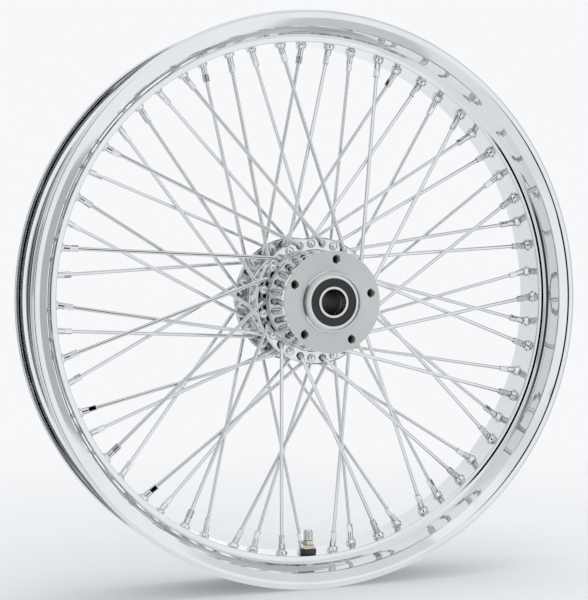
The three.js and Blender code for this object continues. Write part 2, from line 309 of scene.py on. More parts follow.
def rubber(name, tint, rough_lo=0.42, rough_hi=0.7, dust=0.06):
    m, nt, sh, co = material(name)
    fine = noise(nt, co, 1900.0, 4.0, 0.65)
    broad = noise(nt, co, 90.0, 4.0, 0.6)
    lighter = tuple(c + dust for c in tint)
    nt.links.new(ramp(nt, broad, [(0.35, tint), (0.8, lighter)]), sh.inputs["Base Color"])
    nt.links.new(span(nt, broad, rough_lo, rough_hi, 0.3, 0.7), sh.inputs["Roughness"])
    sh.inputs["Specular IOR Level"].default_value = 0.45
    bump(nt, sh, fine, 0.00003)
    return m


def plated(name, tint, worn, rough_lo, rough_hi):
    """Plated brass that shows the brass a little where it is handled."""
    m, nt, sh, co = material(name)
    broad = noise(nt, co, 260.0, 5.0, 0.6)
    fine = noise(nt, co, 1500.0, 4.0, 0.6)
    nt.links.new(ramp(nt, broad, [(0.38, worn), (0.6, tint)]), sh.inputs["Base Color"])
    nt.links.new(span(nt, fine, rough_lo, rough_hi, 0.3, 0.7), sh.inputs["Roughness"])
    sh.inputs["Metallic"].default_value = 1.0
    bump(nt, sh, fine, 0.00001)
    return m


rim_chrome = chrome("rim_chrome", (0.65, 0.661, 0.667), 0.02, 0.055)
spoke_chrome = chrome("spoke_chrome", (0.65, 0.653, 0.657), 0.02, 0.07)
nipple_chrome = chrome("nipple_chrome", (0.645, 0.648, 0.652), 0.03, 0.09)
hub_chrome = chrome("hub_chrome", (0.635, 0.64, 0.648), 0.02, 0.06)
disc_satin = ground("disc_face_satin", (0.505, 0.518, 0.53), 0.34, 0.46)
hole_steel = ground("threaded_hole_steel", (0.34, 0.32, 0.255), 0.3, 0.5, anis=0.0)
bearing_steel = ground("bearing_steel", (0.57, 0.57, 0.57), 0.16, 0.28)
bearing_ball = chrome("bearing_ball_polished", (0.60, 0.60, 0.60), 0.03, 0.08)
bearing_cage = ground("bearing_cage_pressed", (0.43, 0.41, 0.36), 0.28, 0.42, anis=0.1)
seal_rubber = rubber("seal_rubber", (0.010, 0.010, 0.010), 0.42, 0.62, dust=0.012)
tube_dark = ground("spacer_tube_dark", (0.19, 0.175, 0.163), 0.35, 0.55, ring_scale=300.0, anis=0.2)
band_rubber = rubber("rim_band_rubber", (0.02, 0.02, 0.022), 0.5, 0.8)
valve_rubber = rubber("valve_washer_rubber", (0.012, 0.012, 0.013), 0.3, 0.5, dust=0.025)
valve_nickel = plated("valve_nickel", (0.60, 0.56, 0.50), (0.54, 0.46, 0.34), 0.16, 0.34)
valve_brass = plated("valve_brass", (0.50, 0.42, 0.25), (0.43, 0.34, 0.18), 0.2, 0.4)
cap_plate = plated("valve_cap_plate", (0.58, 0.587, 0.60), (0.52, 0.528, 0.55), 0.12, 0.26)


# ------------------------------------------------------------------ spokes: the same lines as in the CAD model
NIPPLE_SEAT_R, NIPPLE_ROW_Y, TURN = 252.6, 5.5, 36.0
HUB_HOLE_R, OUTER_Y, INNER_Y = 56.4, 39.0, 28.8
FLANGE_IN, FLANGE_OUT = 31.0, 36.0
WIRE_R = 1.9
NIPPLE_LEN = 17.0


class Spoke:
    def __init__(self, side, outer, hub_angle):
        self.side, self.outer, self.hub_angle = side, outer, hub_angle
        self.nipple_angle = hub_angle + (-TURN if outer else TURN)
        if side < 0 and not outer:
            self.nipple_angle -= 0.3  # the drilling of this row leans a little
        self.corner = polar(HUB_HOLE_R, hub_angle, side * (OUTER_Y if outer else INNER_Y))
        self.seat = polar(NIPPLE_SEAT_R, self.nipple_angle, side * NIPPLE_ROW_Y)
        self.face_y = side * (FLANGE_IN if outer else FLANGE_OUT)  # the flange face its head rests on
        self.head_dir = -side if outer else side  # the way the head points along Y


def touch(a, b):
    da, db = a.seat - a.corner, b.seat - b.corner
    cross = da.x * db.z - da.z * db.x
    w = b.corner - a.corner
    s = (w.x * db.z - w.z * db.x) / cross
    t = (w.x * da.z - w.z * da.x) / cross
    pa, pb = a.corner + da * s, b.corner + db * t
    middle = (pa.y + pb.y) / 2
    half = (2 * WIRE_R + 0.06) / 2
    sign = 1.0 if pa.y > pb.y else -1.0
    pa.y, pb.y = middle + sign * half, middle - sign * half
    a.touch, b.touch = pa, pb
    for k in (a, b):
        k.dir = (k.seat - k.touch).normalized()


spokes = []
for side in (-1, 1):
    for j in range(15):
        hub_angle = (6 if side < 0 else 0) + 24 * j
        o, i = Spoke(side, True, hub_angle), Spoke(side, False, hub_angle - 60)
        touch(o, i)
        o.number = i.number = j + 1
        spokes += [o, i]


def at_radius(line_point, direction, r):
    """Where a line meets the cylinder of that radius about the axle, outward."""
    a = direction.x**2 + direction.z**2
    b = 2 * (line_point.x * direction.x + line_point.z * direction.z)
    c = line_point.x**2 + line_point.z**2 - r * r
    return line_point + direction * ((-b + math.sqrt(b * b - 4 * a * c)) / (2 * a))


def bend_path(points, radii, step=9.0):
    """A polyline in space with each inner corner rounded."""
    out = [points[0].copy()]
    for i in range(1, len(points) - 1):
        p0, p1, p2 = points[i - 1], points[i], points[i + 1]
        a, b = (p0 - p1).normalized(), (p2 - p1).normalized()
        inside = a.angle(b)
        if math.pi - inside < rad(0.4):
            out.append(p1.copy())
            continue
        d = min(radii[i] / math.tan(inside / 2), 0.48 * (p0 - p1).length, 0.48 * (p2 - p1).length)
        real = d * math.tan(inside / 2)
        c = p1 + (a + b).normalized() * (real / math.sin(inside / 2))
        va, vb = p1 + a * d - c, p1 + b * d - c
        n = va.cross(vb).normalized()
        total = math.pi - inside
        k = max(2, int(math.ceil(math.degrees(total) / step)))
        for j in range(k + 1):
            out.append(c + Matrix.Rotation(total * j / k, 3, n) @ va)
    out.append(points[-1].copy())
    return out


def sweep(path, profile_at, sides, start=0):
    """Rings of a tube along a path. profile_at(i, k) gives the radius of side k at point i."""
    n = len(path)
    tang = []
    for i in range(n):
        a, b = path[max(0, i - 1)], path[min(n - 1, i + 1)]
        tang.append((b - a).normalized())
    ref = Vector((0, 1, 0)) if abs(tang[0].y) < 0.9 else Vector((1, 0, 0))
    u = (ref - tang[0] * ref.dot(tang[0])).normalized()
    verts = []
    for i in range(n):
        if i:
            q = tang[i - 1].rotation_difference(tang[i])
            u = q @ u
            u = (u - tang[i] * u.dot(tang[i])).normalized()
        v = tang[i].cross(u)
        for k in range(sides):
            a = 2 * math.pi * k / sides
            r = profile_at(i, k)
            verts.append(tuple(path[i] + u * (r * math.cos(a)) + v * (r * math.sin(a))))
    faces = []
    for i in range(n - 1):
        for k in range(sides):
            k2 = (k + 1) % sides
            faces.append((start + i * sides + k, start + i * sides + k2, start + (i + 1) * sides + k2, start + (i + 1) * sides + k))
    return verts, faces


WIRE_SIDES = 20
# the head turned about its own axis: distance from the flange face, radius
HEAD = [(0.0, 4.05), (0.25, 4.30), (0.75, 4.32), (0.95, 4.18), (1.05, 3.92), (1.45, 3.86), (2.05, 3.55), (2.6, 3.0), (3.05, 2.3), (3.35, 1.45), (3.48, 0.7)]


def make_spoke(s):
    y_head = s.face_y
    shank = Vector((0, -s.head_dir, 0))  # from the head through the flange
    at = lambda y: Vector((s.corner.x, y, s.corner.z))
    tip = at_radius(s.seat, s.dir, 257.6)
    start = at(y_head)
    path = bend_path([start, s.corner, s.touch, tip], [0, 4.6, 60.0, 0])
    # head rings first, from its crown to the flange face, then the wire
    head_dir = Vector((0, s.head_dir, 0))
    rings = [(start + head_dir * h, r) for h, r in reversed(HEAD)]
    pts = [p for p, _ in rings] + [start + shank * 0.02] + path[1:]
    radii = [r for _, r in rings] + [WIRE_R] * (len(path))
    # the wire's end is bevelled
    end_dir = (pts[-1] - pts[-2]).normalized()
    pts += [pts[-1] + end_dir * 0.4]
    radii[-1] = WIRE_R
    radii += [WIRE_R - 0.4]
    verts, faces = sweep(pts, lambda i, k: radii[i], WIRE_SIDES)
    crown = start + head_dir * 3.52
    verts.append(tuple(crown))
    c = len(verts) - 1
    for k in range(WIRE_SIDES):
        faces.append((c, (k + 1) % WIRE_SIDES, k))
    last = (len(pts) - 1) * WIRE_SIDES
    faces.append(tuple(last + k for k in range(WIRE_SIDES)))
    name = f"{'left' if s.side < 0 else 'right'}_{'outer' if s.outer else 'inner'}_spoke_{s.number:02d}"
    node = f"{'left' if s.side < 0 else 'right'}_spoke_pair_{s.number:02d}"
    new_piece(name, verts, faces, spoke_chrome, "wheel", (node,), sharp=42)


NIPPLE_SIDES = 32


def make_nipple(s, index):
    """A nipple along its spoke: a flatted half for the spanner at its open end, a round half, and a head in the rim's dimple."""
    w = s.dir
    open_end = s.seat - w * NIPPLE_LEN
    twist = rad((index * 137.508) % 90.0)
    flat, full = 2.78, 3.32

    def section(kind, r):
        if kind == "round":
            return [r] * NIPPLE_SIDES
        out = []
        for k in range(NIPPLE_SIDES):
            a = 2 * math.pi * k / NIPPLE_SIDES
            out.append(min(r, (r * flat / full) / max(abs(math.cos(a)), abs(math.sin(a)))))
        return out

    # distance from the open end, kind, radius: the bore first, then the outside, then the head
    rings = [
        (22.6, "round", 1.96), (1.7, "round", 1.96), (1.2, "round", 2.2), (0.35, "round", 2.28), (0.05, "round", 2.5),
        (0.0, "square", 2.75), (0.18, "square", 3.08), (0.5, "square", 3.28), (0.9, "square", full), (7.9, "square", full),
        (8.35, "round", 3.22), (8.6, "round", 3.3), (15.9, "round", 3.3), (17.2, "round", 3.3), (18.6, "round", 3.9), (20.3, "round", 4.65),
        (21.3, "round", 4.72), (22.1, "round", 4.45), (22.6, "round", 3.7),
    ]
    u = (Vector((0, 1, 0)) - w * w.y).normalized()
    v = w.cross(u)
    verts, faces = [], []
    for t, kind, r in rings:
        sec = section(kind, r)
        for k in range(NIPPLE_SIDES):
            a = 2 * math.pi * k / NIPPLE_SIDES
            ang = a + twist
            verts.append(tuple(open_end + w * t + (u * math.cos(ang) + v * math.sin(ang)) * sec[k]))
    n = len(rings)
    for i in range(n):
        for k in range(NIPPLE_SIDES):
            k2 = (k + 1) % NIPPLE_SIDES
            a, b = i * NIPPLE_SIDES, ((i + 1) % n) * NIPPLE_SIDES
            faces.append((a + k, a + k2, b + k2, b + k))
    name = f"{'left' if s.side < 0 else 'right'}_{'outer' if s.outer else 'inner'}_nipple_{s.number:02d}"
    node = f"{'left' if s.side < 0 else 'right'}_spoke_pair_{s.number:02d}"
    new_piece(name, verts, faces, nipple_chrome, "wheel", (node,), sharp=30)


for index, s in enumerate(spokes):
    make_spoke(s)
    make_nipple(s, index)


# ------------------------------------------------------------------ rim
BED_R, BED_TOP_R, BED_HALF = 254.5, 256.7, 16.5
SECTORS, PER_SECTOR, ACROSS = 60, 10, 12
AROUND = SECTORS * PER_SECTOR
# half outline from the hub side of the bed, over the lip, back to the tyre side of the bed: radius, |y|, fillet
RIM_HALF = [
    (BED_R, BED_HALF),
    (BED_R, 20.2, 1.2),
    (257.6, 20.75, 2.0),
    (259.8, 21.6, 2.0),
    (261.6, 23.2, 3.0),
    (263.4, 25.5, 1.0),
    (264.7, 29.2, 30.0),
    (265.9, 34.2, 40.0),
    (266.95, 39.4, 0.4),
    (267.8, 40.65, 0.4),
    (276.5, 45.0, 7.5),
    (280.4, 45.0, 2.6),
    (283.0, 43.4, 1.6),
    (282.9, 40.2, 1.2),
    (281.3, 38.9, 0.7),
    (279.6, 40.9, 1.6),
    (276.0, 42.2, 4.0),
    (271.6, 40.6, 3.0),
    (269.4, 37.6, 2.0),
    (268.3, 33.5, 3.0),
    (265.5, 23.6, 2.0),
    (263.2, 20.9, 2.0),
    (257.6, 18.6, 1.4),
    (BED_TOP_R, BED_HALF),
]
half_points = rounded(RIM_HALF, closed=False, step=9.0)

# where each sector's nipple goes through the bed, and how it leans
sector_spoke = {}
for s in spokes:
    sector_spoke[int(round((s.nipple_angle % 360) / 6.0)) % 60] = s

HOLE_R = 3.72
# distance from the hole's axis, height above the bed towards the hub
DOME = [(HOLE_R, 3.85), (3.95, 4.1), (4.25, 4.15), (4.65, 3.95), (5.05, 3.45), (5.4, 2.7), (5.7, 1.75), (5.98, 0.85), (6.3, 0.3), (6.75, 0.06), (7.3, 0.0)]
DENT = [(HOLE_R, 3.1), (4.3, 2.3), (5.0, 1.2), (5.8, 0.35), (6.7, 0.0)]


def rect_boundary(a0, a1, y0, y1, na, ny):
    """Points round a rectangle, na segments along the angle and ny along y, counterclockwise from (a1, y0)."""
    pts = [(a1, y0 + (y1 - y0) * i / ny) for i in range(ny)]
    pts += [(a1 + (a0 - a1) * i / na, y1) for i in range(na)]
    pts += [(a0, y1 + (y0 - y1) * i / ny) for i in range(ny)]
    pts += [(a0 + (a1 - a0) * i / na, y0) for i in range(na)]
    return pts


def bed_patch(verts, faces, centre_angle, rect, counts, axis_point, axis_dir, rings, base_r, sign, hole_key, holes):
    """One rectangle of the bed with a raised ring round a hole. sign is +1 for the hub side."""
    a0, a1, y0, y1 = rect
    border = rect_boundary(a0, a1, y0, y1, *counts)
    hit = at_radius(axis_point, axis_dir, base_r)
    hit_angle = math.degrees(math.atan2(hit.x, hit.z))
    c_s = rad((hit_angle - centre_angle + 180) % 360 - 180) * BED_R
    c_y = hit.y
    # the axis's slope in (arc, y) for each millimetre towards the hub
    radial = Vector((math.sin(rad(centre_angle)), 0, math.cos(rad(centre_angle))))
    tangential = Vector((math.cos(rad(centre_angle)), 0, -math.sin(rad(centre_angle))))
    inward = -axis_dir / (axis_dir.dot(radial))
    lean_s, lean_y = inward.dot(tangential), inward.y
    flat = [(rad(a) * BED_R, y) for a, y in border]
    ways = [math.atan2(y - c_y, s_ - c_s) for s_, y in flat]
    base = len(verts)
    m = len(border)
    layers = []
    for rho, h in rings:
        layers.append([(c_s + rho * math.cos(w) + lean_s * h, c_y + rho * math.sin(w) + lean_y * h, base_r - h) for w in ways])
    last_rho = rings[-1][0]
    for f in (0.3, 0.65):
        ring = []
        for w, (s_, y) in zip(ways, flat):
            px, py = c_s + last_rho * math.cos(w), c_y + last_rho * math.sin(w)
            ring.append((px + (s_ - px) * f, py + (y - py) * f, base_r))
        layers.append(ring)
    layers.append([(s_, y, base_r) for s_, y in flat])
    for ring in layers:
        for s_, y, r in ring:
            a = rad(centre_angle) + s_ / BED_R
            verts.append((r * math.sin(a), y, r * math.cos(a)))
    for i in range(len(layers) - 1):
        for k in range(m):
            k2 = (k + 1) % m
            q = (base + i * m + k, base + i * m + k2, base + (i + 1) * m + k2, base + (i + 1) * m + k)
            faces.append(q if sign > 0 else q[::-1])
    holes.setdefault(hole_key, []).append([base + k for k in range(m)])


verts, faces = [], []
# the two side strips
for side in (-1, 1):
    base = len(verts)
    for r, y in half_points:
        for k in range(AROUND):
            a = 2 * math.pi * (k - PER_SECTOR / 2) / AROUND
            verts.append((r * math.sin(a), side * y, r * math.cos(a)))
    for i in range(len(half_points) - 1):
        for k in range(AROUND):
            k2 = (k + 1) % AROUND
            q = (base + i * AROUND + k, base + i * AROUND + k2, base + (i + 1) * AROUND + k2, base + (i + 1) * AROUND + k)
            faces.append(q if side > 0 else q[::-1])
holes = {}
VALVE_Y = -10.5
SPLIT = 5
for k in range(SECTORS):
    centre = 6.0 * k
    s = sector_spoke[k]
    axis = s.dir
    if k == 30:
        y_split = -BED_HALF + 2 * BED_HALF * SPLIT / ACROSS
        spans = [((-3, 3, y_split, BED_HALF), (PER_SECTOR, ACROSS - SPLIT), s.seat, axis, DOME, DENT, "n"), ]
        flat_rings = [(4.35, 0.0), (4.6, 0.0), (5.2, 0.0)]
        spans.append(((-3, 3, -BED_HALF, y_split), (PER_SECTOR, SPLIT), Vector((0, VALVE_Y, -250.0)), Vector((0, 0, -1)), flat_rings, flat_rings, "v"))
    else:
        spans = [((-3, 3, -BED_HALF, BED_HALF), (PER_SECTOR, ACROSS), s.seat, axis, DOME, DENT, "n")]
    for rect, counts, point, direction, dome, dent, key in spans:
        bed_patch(verts, faces, centre, rect, counts, point, direction, dome, BED_R, 1, (k, key), holes)
        bed_patch(verts, faces, centre, rect, counts, point, direction, dent, BED_TOP_R, -1, (k, key), holes)
for a, b in holes.values():
    # the hole's wall, with one ring half way
    m = len(a)
    mid = []
    for i, j in zip(a, b):
        mid.append(len(verts))
        verts.append(tuple((np.array(verts[i]) + np.array(verts[j])) / 2))
    for k in range(m):
        k2 = (k + 1) % m
        faces.append((a[k2], a[k], mid[k], mid[k2]))
        faces.append((mid[k2], mid[k], b[k], b[k2]))
new_piece("rim_shell", verts, faces, rim_chrome, "wheel", ("rim",), sharp=44, weld=0.004)

# rubber band in the well, with a bead along each edge
band = rounded([(262.75, -13.3, 0.5), (263.9, -13.3, 0.5), (263.9, -11.9, 0.3), (263.6, -11.4, 0.3), (263.6, 11.4, 0.3), (263.9, 11.9, 0.3), (263.9, 13.3, 0.5), (262.75, 13.3, 0.5)], step=30)
v, f = lathe(band, 240)
new_piece("rim_band_rubber", v, f, band_rubber, "wheel", ("rim_band",))


# ------------------------------------------------------------------ hub shell
HUB_HALF = [  # r, |y|, fillet, from the waist to the bearing seat
    (34.0, 12.0, 16.0),
    (47.4, 31.0, 3.0),
    (60.9, 31.0, 0.6),
    (62.6, 32.6, 0.7),
    (62.6, 34.4, 0.7),
    (61.0, 36.0, 0.5),
    (50.5, 36.0, 0.5),
    (49.9, 36.8, 0.5),
    (47.7, 50.5, 2.0),
    (46.9, 68.2, 1.6),
    (49.4, 71.8, 0.9),
    (49.4, 78.0, 0.55),
    (30.1, 78.0, 0.35),
    (29.2, 79.0, 0.3),
    (29.2, 80.6, 0.25),
    (28.8, 81.0, 0.2),
    (28.8, 84.5, 0.6),
    (26.05, 84.5, 0.4),
    (26.05, 66.7, 0.3),
    (21.5, 66.7, 0.4),
]
outline = [(r, -y, f) for r, y, f in reversed(HUB_HALF)] + HUB_HALF
hub_profile = rounded(outline, step=11.0)
v, f = lathe(hub_profile, 180)
hub = new_piece("hub_body", v, f, hub_chrome, "wheel", ("hub_shell",), weighted=False)

# cutters: sixty countersunk spoke holes, and ten threaded bolt holes
cv, cf = [], []


def add_cutter(profile, segments, origin, axis):
    vv, ff = lathe(profile, segments, closed=False)
    vv = placed(vv, origin, axis)
    base = len(cv)
    cv.extend(vv)
    cf.extend([tuple(base + i for i in q) for q in ff])


for s in spokes:
    thick = FLANGE_OUT - FLANGE_IN
    prof = [(0, -1.0), (4.1 + 1.0, -1.0), (4.1, 0.0), (2.35, 1.5), (2.35, thick - 1.5), (4.1, thick), (5.1, thick + 1.0), (0, thick + 1.0)]
    if s.side < 0:
        prof_y0 = -FLANGE_OUT
    else:
        prof_y0 = FLANGE_IN
    add_cutter(prof, 28, (s.corner.x, prof_y0, s.corner.z), (0, 1, 0))
DISC_FACE = 78.0
for side in (-1, 1):
    for i in range(5):
        c = polar(41.275, 6.5 + 72 * i, side * DISC_FACE)
        prof = [(0, -1.0), (5.55, -1.0), (4.55, 0.0), (3.95, 0.62)]
        y = 0.9
        while y < 18.2:
            prof += [(3.95, y), (3.55, y + 0.35), (3.55, y + 0.55), (3.95, y + 0.9)]
            y += 1.2
        prof += [(3.6, 19.0), (0, 20.6)]
        add_cutter(prof, 32, tuple(c), (0, -side, 0))
cut_mesh = bpy.data.meshes.new("cutters")
cut_mesh.from_pydata([(x * MM, y * MM, z * MM) for x, y, z in cv], [], cf)
bm = bmesh.new()
bm.from_mesh(cut_mesh)
bmesh.ops.recalc_face_normals(bm, faces=bm.faces)
bm.to_mesh(cut_mesh)
bm.free()
cut_mesh.materials.append(hub_chrome)
cut_mesh.materials.append(hole_steel)
cut_ob = bpy.data.objects.new("cutters", cut_mesh)
scene.collection.objects.link(cut_ob)
hub.modifiers.clear()
boolean = hub.modifiers.new("holes", "BOOLEAN")
boolean.operation = "DIFFERENCE"
boolean.object = cut_ob
boolean.solver = "EXACT"
apply_modifiers(hub)
bpy.data.objects.remove(cut_ob)
# material by place: satin disc faces, dark threads, polished elsewhere
hub.data.materials.clear()
for m in (hub_chrome, disc_satin, hole_steel):
    hub.data.materials.append(m)
for p in hub.data.polygons:
    c = p.center / MM
    n = p.normal
    r = math.hypot(c.x, c.z)
    p.material_index = 0
    if abs(n.y) > 0.95 and abs(abs(c.y) - DISC_FACE) < 0.06 and 30 < r < 49.3:
        p.material_index = 1
    elif abs(abs(c.y) - 84.5) < 0.06 and abs(n.y) > 0.95:
        p.material_index = 1
    elif 36.5 < r < 46.3 and 57.5 < abs(c.y) < 77.45 and r < 46.0:
        p.material_index = 2
    elif r < 26.2 and abs(c.y) < 84.0:
        p.material_index = 1
finish_shading(hub, 32, True)


# ------------------------------------------------------------------ bearings
H = 7.5
BEARING_MID = 74.5
N_BALLS = 9
BALL_PITCH, BALL_RADIUS = 19.52, 3.95


def move_y(vs, dy, flip=1):
    return [(x, y * flip + dy, z) for x, y, z in vs]


for side, word in ((-1, "left"), (1, "right")):
    mid = side * BEARING_MID
    groove = [(23.05 + 1.15 * math.sin(math.pi * t / 10), -3.6 + 7.2 * t / 10) for t in range(11)]
    ring = rounded([(25.95, -H, 0.9), (25.95, H - 1.3, 0.1), (24.75, H - 1.3, 0.1), (24.75, H, 0.35), (23.0, H, 0.25), (23.0, 6.75, 0.0), (22.9, 6.6, 0.0), (22.9, 5.5, 0.0), (22.1, 5.1, 0.3), (22.1, 3.7, 0.2)], closed=False, step=22)
    ring += [(22.15 + 1.35 * math.sin(math.pi * t / 12), 3.55 - 7.1 * t / 12) for t in range(1, 12)]
    ring += rounded([(22.1, -3.7, 0.2), (22.1, -5.1, 0.3), (22.9, -5.5, 0.0), (22.9, -6.6, 0.0), (23.0, -6.75, 0.0), (23.0, -H, 0.25), (25.95, -H, 0.9)], closed=False, step=22)[:-1]
    v, f = lathe(ring, 128)
    new_piece(f"{word}_bearing_outer_race", move_y(v, mid), f, bearing_steel, "wheel", (f"{word}_bearing_outer_ring",))
    ring = rounded([(12.72, -H, 0.8), (12.72, H, 1.0), (14.95, H, 0.25), (15.2, 6.6, 0.0), (15.2, 5.6, 0.0), (16.9, 5.1, 0.3), (16.9, 3.7, 0.2)], closed=False, step=22)
    ring += [(16.85 - 1.25 * math.sin(math.pi * t / 12), 3.55 - 7.1 * t / 12) for t in range(1, 12)]
    ring += rounded([(16.9, -3.7, 0.2), (16.9, -5.1, 0.3), (15.2, -5.6, 0.0), (15.2, -6.6, 0.0), (14.95, -H, 0.25), (12.72, -H, 1.0)], closed=False, step=22)[:-1]
    v, f = lathe(ring, 112)
    new_piece(f"{word}_bearing_inner_race", move_y(v, mid), f, bearing_steel, "axle_side", (f"{word}_bearing_inner_ring",))
    # balls
    v, f = [], []
    for i in range(N_BALLS):
        c = polar(BALL_PITCH, 360 / N_BALLS * i, mid)
        prof = [(BALL_RADIUS * math.sin(math.pi * t / 16), -BALL_RADIUS * math.cos(math.pi * t / 16)) for t in range(17)]
        prof[0], prof[-1] = (0.0, -BALL_RADIUS), (0.0, BALL_RADIUS)
        vv, ff = lathe(prof, 24, closed=False)
        base = len(v)
        v += [(x + c.x, y + c.y, z + c.z) for x, y, z in vv]
        f += [tuple(base + q for q in face) for face in ff]
    new_piece(f"{word}_bearing_balls", v, f, bearing_ball, f"{word}_cage", (f"{word}_bearing_ball_cage",), weighted=False)
    # pressed cage: two wavy ribbons that bulge round the balls and meet between them
    v, f = [], []
    steps = 216
    for half in (-1, 1):
        base = len(v)
        for k in range(steps):
            a = 2 * math.pi * k / steps
            near = ((math.degrees(a) + 20) % 40) - 20  # degrees from the nearest ball
            arc = rad(near) * BALL_PITCH
            reach = BALL_RADIUS + 0.28
            y = math.sqrt(max(0.0, reach * reach - arc * arc)) if abs(arc) < reach else 0.0
            y = max(y, 0.06)
            for dr, dy in ((-1.15, 0.0), (1.15, 0.0), (1.15, 0.5), (-1.15, 0.5)):
                rr = BALL_PITCH + dr
                v.append((rr * math.sin(a), mid + half * (y + dy), rr * math.cos(a)))
        for k in range(steps):
            k2 = (k + 1) % steps
            for c in range(4):
                c2 = (c + 1) % 4
                f.append((base + k * 4 + c, base + k * 4 + c2, base + k2 * 4 + c2, base + k2 * 4 + c))
    new_piece(f"{word}_bearing_cage", v, f, bearing_cage, f"{word}_cage", (f"{word}_bearing_ball_cage",), sharp=50, weighted=False)
    # seals: a moulded disc with a rim bead, a shallow dish, a raised ring and a lip on the inner race
    for face, which in ((side, "outside"), (-side, "inside")):
        prof = rounded([
            (15.4, 6.05, 0.15), (22.75, 6.05, 0.3), (22.85, 6.95, 0.3), (22.3, 7.2, 0.25), (21.5, 7.1, 0.2), (21.2, 6.8, 0.2), (19.9, 6.75, 0.2),
            (19.6, 6.95, 0.2), (17.9, 6.95, 0.2), (17.6, 6.7, 0.2), (16.9, 6.7, 0.2), (16.4, 7.1, 0.25), (15.4, 7.0, 0.2),
        ], step=30)
        v, f = lathe(prof, 112)
        new_piece(f"{word}_bearing_{which}_seal_disc", move_y(v, mid, face), f, seal_rubber, "wheel", (f"{word}_bearing_{which}_seal",))

tube = rounded([(12.85, -66.6, 0.5), (16.6, -66.6, 0.8), (16.6, 66.6, 0.8), (12.85, 66.6, 0.5)], step=22)
v, f = lathe(tube, 112)
new_piece("bearing_spacer", v, f, tube_dark, "axle_side", ("bearing_spacer_tube",))


# ------------------------------------------------------------------ valve, standing along Z at the bottom of the rim
def stand(vs):
    """From turned about Y to turned about Z at the valve's place; y becomes z."""
    return [(x, VALVE_Y + z, y) for x, y, z in vs]


def threaded(r_major, r_minor, y0, y1, pitch):
    """Outline of a screw thread's crests and roots between two heights."""
    out, y = [], y0
    while y + pitch <= y1 + 1e-6:
        out += [(r_minor, y), (r_major, y + 0.35 * pitch), (r_major, y + 0.55 * pitch), (r_minor, y + 0.9 * pitch)]
        y += pitch
    return out


def helical(profile_r, z0, z1, pitch, segments=48, per_turn=None, bore=None, cap_r=None):
    """A real helical screw thread as a solid tube: radius profile_r(phase) with phase 0..1 along the pitch."""
    rows = int(round((z1 - z0) / pitch * 8))
    vs, fs = [], []
    for i in range(rows + 1):
        z = z0 + (z1 - z0) * i / rows
        for k in range(segments):
            a = 2 * math.pi * k / segments
            ph = ((z - z0) / pitch - k / segments) % 1.0
            edge = min(1.0, (z - z0) / (0.6 * pitch), (z1 - z) / (0.6 * pitch))
            r = profile_r(0.0) + (profile_r(ph) - profile_r(0.0)) * max(0.0, edge)
            vs.append((r * math.sin(a), z, r * math.cos(a)))
    for i in range(rows):
        for k in range(segments):
            k2 = (k + 1) % segments
            fs.append((i * segments + k, i * segments + k2, (i + 1) * segments + k2, (i + 1) * segments + k))
    return vs, fs, rows


def thread_profile(minor, major):
    return lambda ph: minor + (major - minor) * (1 - abs(2 * ph - 1)) ** 1.0 if 0 < ph < 1 else minor


# stem: a foot, then a threaded barrel open to its end
stem_v, stem_f, rows_ = helical(thread_profile(3.45, 3.85), -259.6, -239.4, 0.8)
top_v, top_f, rows2 = helical(thread_profile(3.45, 3.8), -239.4, -233.4, 0.8)
seg = 48
v, f = list(stem_v), list(stem_f)
base = len(v)
v += top_v
f += [tuple(base + i for i in q) for q in top_f]
for k in range(seg):
    k2 = (k + 1) % seg
    f.append((rows_ * seg + k, rows_ * seg + k2, base + k2, base + k))
# the end face and bore, then the foot
end_ring = base + rows2 * seg


def ring_of(r, y):
    start = len(v)
    for k in range(seg):
        a = 2 * math.pi * k / seg
        v.append((r * math.sin(a), y, r * math.cos(a)))
    return start


def bridge(a, b):
    for k in range(seg):
        k2 = (k + 1) % seg
        f.append((a + k, a + k2, b + k2, b + k))


chain = [end_ring]
for r, y in ((3.3, -233.2), (1.9, -233.2), (1.55, -233.5), (1.4, -234.2), (1.4, -261.6), (1.7, -261.9), (6.6, -261.9), (7.15, -261.5), (7.15, -260.7), (6.6, -260.25), (4.4, -260.0)):
    chain.append(ring_of(r, y))
chain.append(0)
for a, b in zip(chain, chain[1:]):
    bridge(a, b)
new_piece("valve_stem_threaded", stand(v), f, valve_nickel, "wheel", ("valve_stem",), sharp=35, weighted=False)

grommet = rounded([(4.45, -258.95, 0.2), (7.0, -259.85, 0.4), (7.6, -259.5, 0.3), (7.6, -257.3, 0.3), (7.2, -257.05, 0.2), (4.45, -257.05, 0.2)], step=22)
v, f = lathe(grommet, 64)
new_piece("valve_grommet", stand(v), f, valve_rubber, "wheel", ("valve_inner_grommet",))

# the washer is squeezed: its side bulges and its upper edge turns up a little
washer = rounded([(4.25, -254.15, 0.2), (7.6, -254.2, 0.5), (8.3, -253.2, 0.9), (8.3, -250.6, 0.9), (8.15, -249.2, 0.4), (7.4, -249.0, 0.4), (6.9, -249.35, 0.3), (4.25, -249.35, 0.2)], step=18)
v, f = lathe(washer, 72)
new_piece("valve_washer", stand(v), f, valve_rubber, "wheel", ("valve_rubber_washer",))


